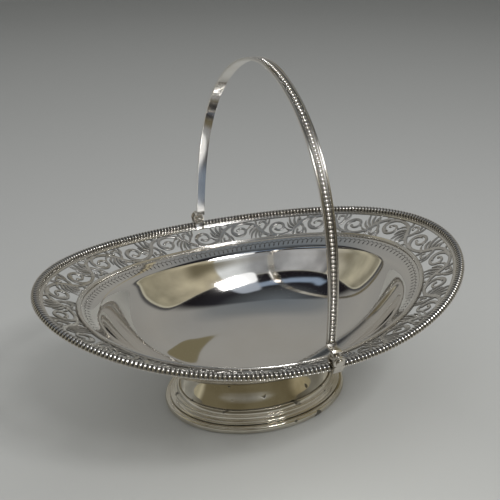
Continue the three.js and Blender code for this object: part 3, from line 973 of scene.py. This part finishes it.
def build_stage():
    """A pale sweep: floor, a wide curve and a backdrop, far enough round for every view."""
    t = np.linspace(0, math.pi / 2, SWEEP_BEND_POINTS)
    bend_end = SWEEP_RADIUS + SWEEP_BEND
    run = np.concatenate([[1, SWEEP_RADIUS], SWEEP_RADIUS + SWEEP_BEND * np.sin(t[1:]), [bend_end]])
    rise = np.concatenate([[0, 0], SWEEP_BEND * (1 - np.cos(t[1:])), [SWEEP_BEND + SWEEP_WALL]])
    angle = np.linspace(0, 2 * math.pi, SWEEP_AROUND, endpoint=False)
    x, y = run[:, None] * np.cos(angle), run[:, None] * np.sin(angle)
    points = np.stack([x, y, rise[:, None] + 0 * angle], -1).reshape(-1, 3)
    faces, _ = grid_faces(len(run), SWEEP_AROUND, False, True)
    obj = add_mesh("sweep", points, faces.tolist())
    obj.data.materials.append(pale_sweep())


# Light: directions in the room are a side angle and a height, both in degrees


def area_light(name, at, aim, size, power):
    """A soft lamp at one place in metres, turned toward another."""
    lamp = bpy.data.lights.new(name, "AREA")
    lamp.shape = "RECTANGLE"
    lamp.size, lamp.size_y = size
    lamp.energy = power
    obj = bpy.data.objects.new(name, lamp)
    obj.location = Vector(at)
    obj.rotation_euler = (Vector(aim) - Vector(at)).to_track_quat("-Z", "Y").to_euler()
    bpy.context.scene.collection.objects.link(obj)


def wide_four(tree, value, centre, half):
    """The fourth power of how far a value lies from a centre, 1 at half the width."""
    share = calc(tree, "DIVIDE", calc(tree, "SUBTRACT", value, centre), half)
    square = calc(tree, "MULTIPLY", share, share)
    return calc(tree, "MULTIPLY", square, square)


def patch(tree, side, height, centre, half):
    """A rounded oblong of the room: below 1 inside it and above 1 outside."""
    return calc(
        tree, "ADD", wide_four(tree, side, centre[0], half[0]), wide_four(tree, height, centre[1], half[1])
    )


def room_directions(tree, way):
    """Side angle and height of a direction."""
    parts = node(tree, "ShaderNodeSeparateXYZ")
    link(tree, way, parts.inputs["Vector"])
    x, y, z = (parts.outputs[axis] for axis in "XYZ")
    c, s = math.cos(ROOM_TURN), math.sin(ROOM_TURN)
    height = calc(tree, "MULTIPLY", calc(tree, "ARCSINE", z), 180 / math.pi)
    toward = calc(tree, "MULTIPLY_ADD", y, c, calc(tree, "MULTIPLY", x, s))
    across = calc(tree, "MULTIPLY_ADD", y, -s, calc(tree, "MULTIPLY", x, c))
    side = calc(tree, "MULTIPLY", calc(tree, "ARCTAN2", across, toward), 180 / math.pi)
    return side, height


def tent_colours(tree, side, height):
    """The pale tent behind the camera, with something brown low in it."""
    tent = ramp(tree, calc(tree, "DIVIDE", height, 90), [
        (0.0, (0.24, 0.24, 0.23)), (0.35, (0.29, 0.285, 0.265)), (0.6, (0.26, 0.26, 0.25)),
        (0.72, (0.18, 0.19, 0.195)), (0.88, (0.15, 0.165, 0.18)), (1.0, (0.13, 0.15, 0.17)),
    ])
    brown = ranged(tree, patch(tree, side, height, *BROWN_SHAPE), 1.1, 0.8)
    return blend(tree, brown, tent, (0.16, 0.14, 0.085))


def dim_colours(tree, side, height, cloud):
    """The dim room, with a long bluish pane and a paler glow high up."""
    dim = ramp(tree, calc(tree, "DIVIDE", height, 90), [
        (0.0, (0.13, 0.115, 0.08)), (0.12, (0.15, 0.13, 0.09)), (0.2, (0.05, 0.045, 0.04)),
        (0.56, (0.010, 0.009, 0.011)), (0.72, (0.018, 0.018, 0.022)), (0.8, (0.05, 0.055, 0.06)),
        (1.0, (0.11, 0.125, 0.14)),
    ])
    # The pane sinks a little toward one side, and its edges waver
    middle = calc(tree, "MULTIPLY_ADD", side, -0.05, 64.5)
    wavy = calc(tree, "MULTIPLY_ADD", cloud, 8.0, height)
    lift = calc(tree, "ABSOLUTE", calc(tree, "SUBTRACT", wavy, middle))
    ends = ranged(tree, wide_four(tree, side, 6, 58), 1.0, 0.6)
    pane = calc(tree, "MULTIPLY", ranged(tree, lift, 4.5, 1.5), ends)
    dim = blend(tree, pane, dim, (0.22, 0.28, 0.37))
    glow = ranged(tree, patch(tree, side, height, *GLOW), 1.3, 0.3)
    return blend(tree, glow, dim, (0.34, 0.38, 0.44))


def lozenge_colours(tree, side, height, cloud, lozenge):
    """Inside the lozenge: olive at both ends, glass between them, brown low down, and a light edge."""
    inner = ramp(tree, calc(tree, "MULTIPLY_ADD", side, 1 / 220, 0.5), [
        (0.0, (0.30, 0.28, 0.20)), (0.13, (0.33, 0.30, 0.215)), (0.25, (0.36, 0.325, 0.23)),
        (0.278, (0.34, 0.31, 0.22)), (0.285, (0.62, 0.65, 0.66)), (0.35, (0.50, 0.52, 0.53)),
        (0.40, (0.32, 0.33, 0.34)), (0.68, (0.28, 0.28, 0.28)), (0.715, (0.10, 0.10, 0.10)),
        (0.73, (0.36, 0.34, 0.28)), (0.84, (0.33, 0.31, 0.23)), (1.0, (0.26, 0.24, 0.18)),
    ])
    inner = blend(tree, 1.0, inner, calc(tree, "MULTIPLY_ADD", cloud, 2.2, -0.1), "MULTIPLY")
    between = ranged(tree, calc(tree, "ABSOLUTE", side), 74, 60)
    lower = calc(tree, "MULTIPLY", ranged(tree, height, 39, 31), between)
    inner = blend(tree, lower, inner, (0.135, 0.118, 0.075))
    return blend(tree, ranged(tree, lozenge, 0.88, 0.94, 0, 0.8), inner, (0.50, 0.48, 0.38))


def build_world():
    """The room the silver shows: a pale tent, and a dim room with a lit lozenge and a window."""
    world = bpy.data.worlds.new("room")
    world.use_nodes = True
    tree = world.node_tree
    way = node(tree, "ShaderNodeTexCoord").outputs["Generated"]
    side, height = room_directions(tree, way)
    cloud = noise(tree, way, 3.0, 3.0)
    tent = tent_colours(tree, side, height)
    dim = dim_colours(tree, side, height, cloud)

    # The dim room shows through the tent's opening, high up and along the floor
    facing = calc(tree, "COSINE", calc(tree, "MULTIPLY", side, math.pi / 180))
    opening = ranged(tree, facing, -0.36, -0.07)
    shown = blend(tree, calc(tree, "MULTIPLY", opening, ranged(tree, height, 28, 46)), tent, dim)
    shown = blend(tree, calc(tree, "MULTIPLY", opening, ranged(tree, height, 14, 11)), shown, dim)

    # The lozenge in its dark outline, and the white window over it
    lozenge = patch(tree, side, height, *LOZENGE)
    shown = blend(tree, ranged(tree, lozenge, 1.22, 1.04, 0, 0.9), shown, (0.03, 0.03, 0.035))
    inner = lozenge_colours(tree, side, height, cloud, lozenge)
    shown = blend(tree, ranged(tree, lozenge, 1.0, 0.97), shown, inner)
    window = patch(tree, side, height, *WINDOW)
    shown = blend(tree, ranged(tree, window, 1.2, 0.8), shown, (1.0, 1.02, 1.04))

    # Even light on the floor, and a plain tone above the backdrop
    even = blend(tree, ray(tree, "Is Diffuse Ray"), shown, (0.73, 0.73, 0.72))
    above = blend(tree, ray(tree, "Is Camera Ray"), even, (0.165, 0.168, 0.162))
    back = tree.nodes["Background"]
    put(tree, above, back.inputs["Color"])
    put(tree, 1.0, back.inputs["Strength"])
    bpy.context.scene.world = world


# Camera


def build_camera():
    """The camera as it stood for the photograph."""
    data = bpy.data.cameras.new("camera")
    data.lens = CAMERA_LENS
    data.sensor_width = 36
    obj = bpy.data.objects.new("camera", data)
    at, aim = Vector(CAMERA_AT) * MM, Vector(CAMERA_AIM) * MM
    obj.location = at
    obj.rotation_euler = (aim - at).to_track_quat("-Z", "Y").to_euler()
    bpy.context.scene.collection.objects.link(obj)
    bpy.context.scene.camera = obj


build_basket()
build_stage()
build_world()
area_light("softbox", (0.42, -0.96, 1.45), (0, 0, 0.1), (0.40, 0.32), 10)
build_camera()
bpy.context.scene.view_settings.view_transform = "Standard"
